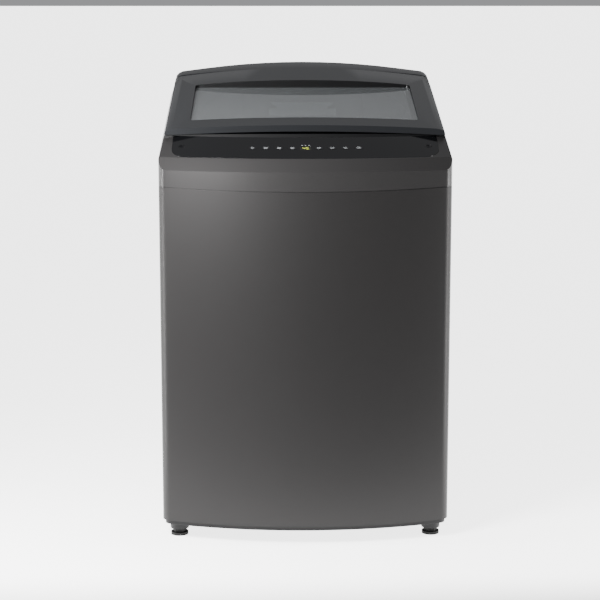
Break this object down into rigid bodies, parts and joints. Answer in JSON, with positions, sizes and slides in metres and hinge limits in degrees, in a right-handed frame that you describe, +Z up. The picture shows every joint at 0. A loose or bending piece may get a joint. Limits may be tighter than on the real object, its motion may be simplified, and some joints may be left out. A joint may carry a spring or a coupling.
{
  "type": "top load washing machine",
  "caption": "Top load washing machine with a bowed graphite cabinet, sloped glazed lid, control panel, hanging tub, perforated basket, wash plate and direct drive motor.",
  "frame": {"origin": "on the floor under the middle of the overall footprint", "axes": "+Z up, -Y towards the user in front of the machine, +X to the user's right"},
  "size_m": [0.59, 0.606, 0.96],
  "materials": {
    "graphite_steel": "satin metallic graphite lacquer on steel sheet",
    "graphite_plastic": "satin metallic graphite moulded plastic",
    "charcoal_plastic": "smooth charcoal moulded plastic",
    "gloss_black": "high gloss black acrylic",
    "black_plastic": "fine textured black plastic",
    "black_rubber": "moulded rubber",
    "tempered_glass": "grey tinted tempered glass",
    "display_lens": "tinted lens with a lit display behind",
    "galvanised_steel": "galvanised sheet",
    "stainless_steel": "brushed stainless steel",
    "zinc_steel": "zinc plated steel",
    "white_plastic": "natural white polypropylene",
    "grey_plastic": "smooth light grey plastic",
    "blue_plastic": "blue moulded frame with mesh",
    "cast_aluminium": "die cast aluminium",
    "circuit_board": "coated glass fibre board",
    "copper_winding": "enamelled copper on steel laminations"
  },
  "bodies": {
    "cabinet": {"cabinet": "graphite_steel", "rear_cover": "galvanised_steel", "rear_cover_screws": "zinc_steel", "base_frame": "black_plastic", "corner_plates": "galvanised_steel", "foot_lock_nuts": "zinc_steel", "rear_feet": "black_rubber", "top_cover": "graphite_plastic", "top_cover_screws": "zinc_steel", "control_panel": "gloss_black", "display_window": "display_lens", "panel_plugs": "gloss_black", "control_board": "circuit_board", "rear_housing": "charcoal_plastic", "lid_hinge_pins": "stainless_steel", "lid_bumpers": "black_rubber", "lid_switch": "black_plastic", "dispenser_housing": "grey_plastic", "inlet_valve": "white_plastic", "fill_duct": "white_plastic", "level_sensor": "black_plastic", "cord_gland": "black_plastic", "suspension_rods": "zinc_steel", "suspension_springs": "zinc_steel", "drain_pump": "white_plastic", "drain_hose": "black_rubber"},
    "tub": {"outer_tub": "white_plastic", "tub_cover": "white_plastic", "bearing_housing": "cast_aluminium", "outer_races": "zinc_steel", "shaft_seal": "black_rubber", "stator": "copper_winding", "suspension_cups": "black_plastic"},
    "basket": {"basket": "stainless_steel", "balance_ring": "grey_plastic", "basket_hub": "cast_aluminium", "spin_shaft": "zinc_steel", "inner_races": "zinc_steel"},
    "wash_plate": {"wash_plate": "grey_plastic", "wash_plate_cap": "grey_plastic", "wash_plate_bolt": "stainless_steel", "wash_shaft": "stainless_steel", "rotor": "zinc_steel", "rotor_nut": "zinc_steel"},
    "lid": {"lid_frame": "charcoal_plastic", "lid_glass": "tempered_glass", "glass_gasket": "black_rubber"},
    "drawer": {"detergent_drawer": "grey_plastic"},
    "left_filter": {"left_lint_filter": "blue_plastic"},
    "right_filter": {"right_lint_filter": "blue_plastic"},
    "left_foot": {"left_levelling_foot": "black_rubber"},
    "right_foot": {"right_levelling_foot": "black_rubber"},
    "power_key": {"power_key": "gloss_black"},
    "wash_key": {"wash_key": "gloss_black"},
    "rinse_key": {"rinse_key": "gloss_black"},
    "spin_key": {"spin_key": "gloss_black"},
    "programme_key": {"programme_key": "gloss_black"},
    "level_key": {"level_key": "gloss_black"},
    "delay_key": {"delay_key": "gloss_black"},
    "start_key": {"start_key": "gloss_black"}
  },
  "joints": [
    {"name": "lid_hinge", "type": "hinge", "parent": "cabinet", "child": "lid", "pos_m": [0, 0.198, 0.91035], "axis": [-1, 0, 0], "range_deg": [0, 100]},
    {"name": "tub_bounce", "type": "slide", "parent": "cabinet", "child": "tub", "axis": [0, 0, 1], "range_m": [-0.018, 0.008], "stiffness_N_per_m": 16000, "springref_m": 0.0174, "deforming": ["suspension_springs", "drain_hose"]},
    {"name": "basket_spin", "type": "hinge", "parent": "tub", "child": "basket", "pos_m": [0, 0, 0.222], "axis": [0, 0, 1], "continuous": true},
    {"name": "wash_plate_turn", "type": "hinge", "parent": "tub", "child": "wash_plate", "pos_m": [0, 0, 0.244], "axis": [0, 0, 1], "continuous": true},
    {"name": "drawer_slide", "type": "slide", "parent": "cabinet", "child": "drawer", "axis": [0, -1, 0], "range_m": [0, 0.08]},
    {"name": "left_filter_lift", "type": "slide", "parent": "basket", "child": "left_filter", "axis": [0, 0, 1], "range_m": [0, 0.03]},
    {"name": "right_filter_lift", "type": "slide", "parent": "basket", "child": "right_filter", "axis": [0, 0, 1], "range_m": [0, 0.03]},
    {"name": "left_foot_adjust", "type": "slide", "parent": "cabinet", "child": "left_foot", "axis": [0, 0, -1], "range_m": [0, 0.012]},
    {"name": "right_foot_adjust", "type": "slide", "parent": "cabinet", "child": "right_foot", "axis": [0, 0, -1], "range_m": [0, 0.012]},
    {"name": "power_key_press", "type": "slide", "parent": "cabinet", "child": "power_key", "axis": [0.0552, 0.3941, -0.9174], "range_m": [0, 0.0011], "stiffness_N_per_m": 400, "springref_m": -0.0005},
    {"name": "wash_key_press", "type": "slide", "parent": "cabinet", "child": "wash_key", "axis": [0.0414, 0.3958, -0.9174], "range_m": [0, 0.0011], "stiffness_N_per_m": 400, "springref_m": -0.0005},
    {"name": "rinse_key_press", "type": "slide", "parent": "cabinet", "child": "rinse_key", "axis": [0.0276, 0.397, -0.9174], "range_m": [0, 0.0011], "stiffness_N_per_m": 400, "springref_m": -0.0005},
    {"name": "spin_key_press", "type": "slide", "parent": "cabinet", "child": "spin_key", "axis": [0.0138, 0.3977, -0.9174], "range_m": [0, 0.0011], "stiffness_N_per_m": 400, "springref_m": -0.0005},
    {"name": "programme_key_press", "type": "slide", "parent": "cabinet", "child": "programme_key", "axis": [-0.0138, 0.3977, -0.9174], "range_m": [0, 0.0011], "stiffness_N_per_m": 400, "springref_m": -0.0005},
    {"name": "level_key_press", "type": "slide", "parent": "cabinet", "child": "level_key", "axis": [-0.0276, 0.397, -0.9174], "range_m": [0, 0.0011], "stiffness_N_per_m": 400, "springref_m": -0.0005},
    {"name": "delay_key_press", "type": "slide", "parent": "cabinet", "child": "delay_key", "axis": [-0.0414, 0.3958, -0.9174], "range_m": [0, 0.0011], "stiffness_N_per_m": 400, "springref_m": -0.0005},
    {"name": "start_key_press", "type": "slide", "parent": "cabinet", "child": "start_key", "axis": [-0.0552, 0.3941, -0.9174], "range_m": [0, 0.0011], "stiffness_N_per_m": 400, "springref_m": -0.0005}
  ]
}
